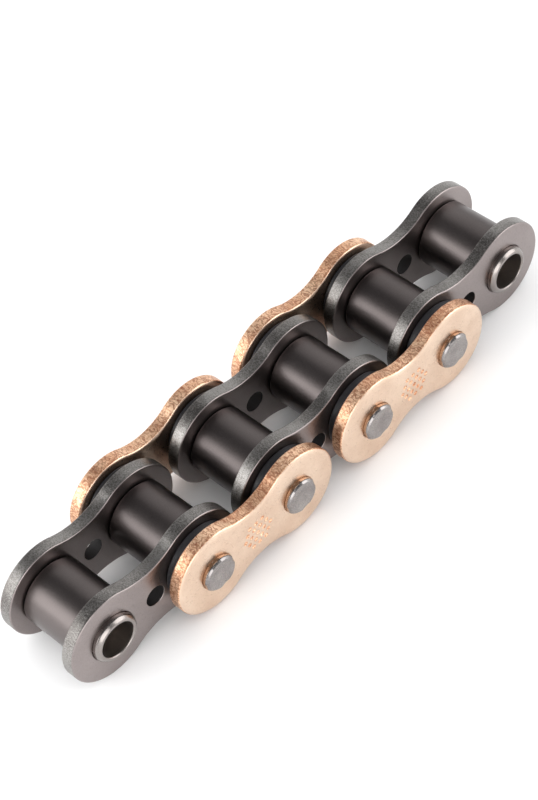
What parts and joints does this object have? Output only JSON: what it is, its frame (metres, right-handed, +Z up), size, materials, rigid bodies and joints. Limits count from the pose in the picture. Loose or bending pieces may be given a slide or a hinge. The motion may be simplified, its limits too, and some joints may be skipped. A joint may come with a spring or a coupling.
{
  "type": "drive chain",
  "caption": "Sealed roller chain section for a motorcycle: dark inner links and rose-gold outer links on riveted pins, with free rollers and X-ring seals, open at both ends.",
  "frame": {"origin": "under the middle of the chain, on the surface it stands on, midway between its two sides", "axes": "+X along the chain, +Y along the pins, +Z up"},
  "size_m": [0.094, 0.0232, 0.0146],
  "materials": {
    "inner_plate": "heat-treated and blackened steel, dark gunmetal, satin faces and rough sheared rims with bright corners",
    "outer_plate": "steel plated pale rose gold, satin faces and rough copper-coloured sheared rims",
    "bushing": "ground steel with bright rounded ends",
    "roller": "dark brown-grey hardened steel, smooth, with a broad soft shine",
    "pin": "plain ground steel with riveted, staked ends",
    "seal": "black nitrile rubber with a film of grease"
  },
  "bodies": {
    "inner_link_2": {"inner_plate_2_left": "inner_plate", "inner_plate_2_right": "inner_plate", "bushing_3": "bushing", "bushing_4": "bushing", "seal_2_left": "seal", "seal_2_right": "seal", "seal_3_left": "seal", "seal_3_right": "seal"},
    "inner_link_1": {"inner_plate_1_left": "inner_plate", "inner_plate_1_right": "inner_plate", "bushing_1": "bushing", "bushing_2": "bushing", "seal_1_left": "seal", "seal_1_right": "seal"},
    "inner_link_3": {"inner_plate_3_left": "inner_plate", "inner_plate_3_right": "inner_plate", "bushing_5": "bushing", "bushing_6": "bushing", "seal_4_left": "seal", "seal_4_right": "seal"},
    "outer_link_1": {"outer_plate_1_left": "outer_plate", "outer_plate_1_right": "outer_plate", "pin_1": "pin", "pin_2": "pin"},
    "outer_link_2": {"outer_plate_2_left": "outer_plate", "outer_plate_2_right": "outer_plate", "pin_3": "pin", "pin_4": "pin"},
    "roller_1": {"roller_1": "roller"},
    "roller_2": {"roller_2": "roller"},
    "roller_3": {"roller_3": "roller"},
    "roller_4": {"roller_4": "roller"},
    "roller_5": {"roller_5": "roller"},
    "roller_6": {"roller_6": "roller"}
  },
  "joints": [
    {"name": "pin_2_hinge", "type": "hinge", "parent": "inner_link_2", "child": "outer_link_1", "pos_m": [-0.00794, 0, 0.0073], "axis": [0, 1, 0], "range_deg": [-60, 60]},
    {"name": "pin_1_hinge", "type": "hinge", "parent": "outer_link_1", "child": "inner_link_1", "pos_m": [-0.02381, 0, 0.0073], "axis": [0, 1, 0], "range_deg": [-60, 60]},
    {"name": "pin_3_hinge", "type": "hinge", "parent": "inner_link_2", "child": "outer_link_2", "pos_m": [0.00794, 0, 0.0073], "axis": [0, -1, 0], "range_deg": [-60, 60]},
    {"name": "pin_4_hinge", "type": "hinge", "parent": "outer_link_2", "child": "inner_link_3", "pos_m": [0.02381, 0, 0.0073], "axis": [0, -1, 0], "range_deg": [-60, 60]},
    {"name": "roller_1_spin", "type": "hinge", "parent": "inner_link_1", "child": "roller_1", "pos_m": [-0.03969, 0, 0.0073], "axis": [0, 1, 0], "continuous": true},
    {"name": "roller_2_spin", "type": "hinge", "parent": "inner_link_1", "child": "roller_2", "pos_m": [-0.02381, 0, 0.0073], "axis": [0, 1, 0], "continuous": true},
    {"name": "roller_3_spin", "type": "hinge", "parent": "inner_link_2", "child": "roller_3", "pos_m": [-0.00794, 0, 0.0073], "axis": [0, 1, 0], "continuous": true},
    {"name": "roller_4_spin", "type": "hinge", "parent": "inner_link_2", "child": "roller_4", "pos_m": [0.00794, 0, 0.0073], "axis": [0, 1, 0], "continuous": true},
    {"name": "roller_5_spin", "type": "hinge", "parent": "inner_link_3", "child": "roller_5", "pos_m": [0.02381, 0, 0.0073], "axis": [0, 1, 0], "continuous": true},
    {"name": "roller_6_spin", "type": "hinge", "parent": "inner_link_3", "child": "roller_6", "pos_m": [0.03969, 0, 0.0073], "axis": [0, 1, 0], "continuous": true}
  ]
}
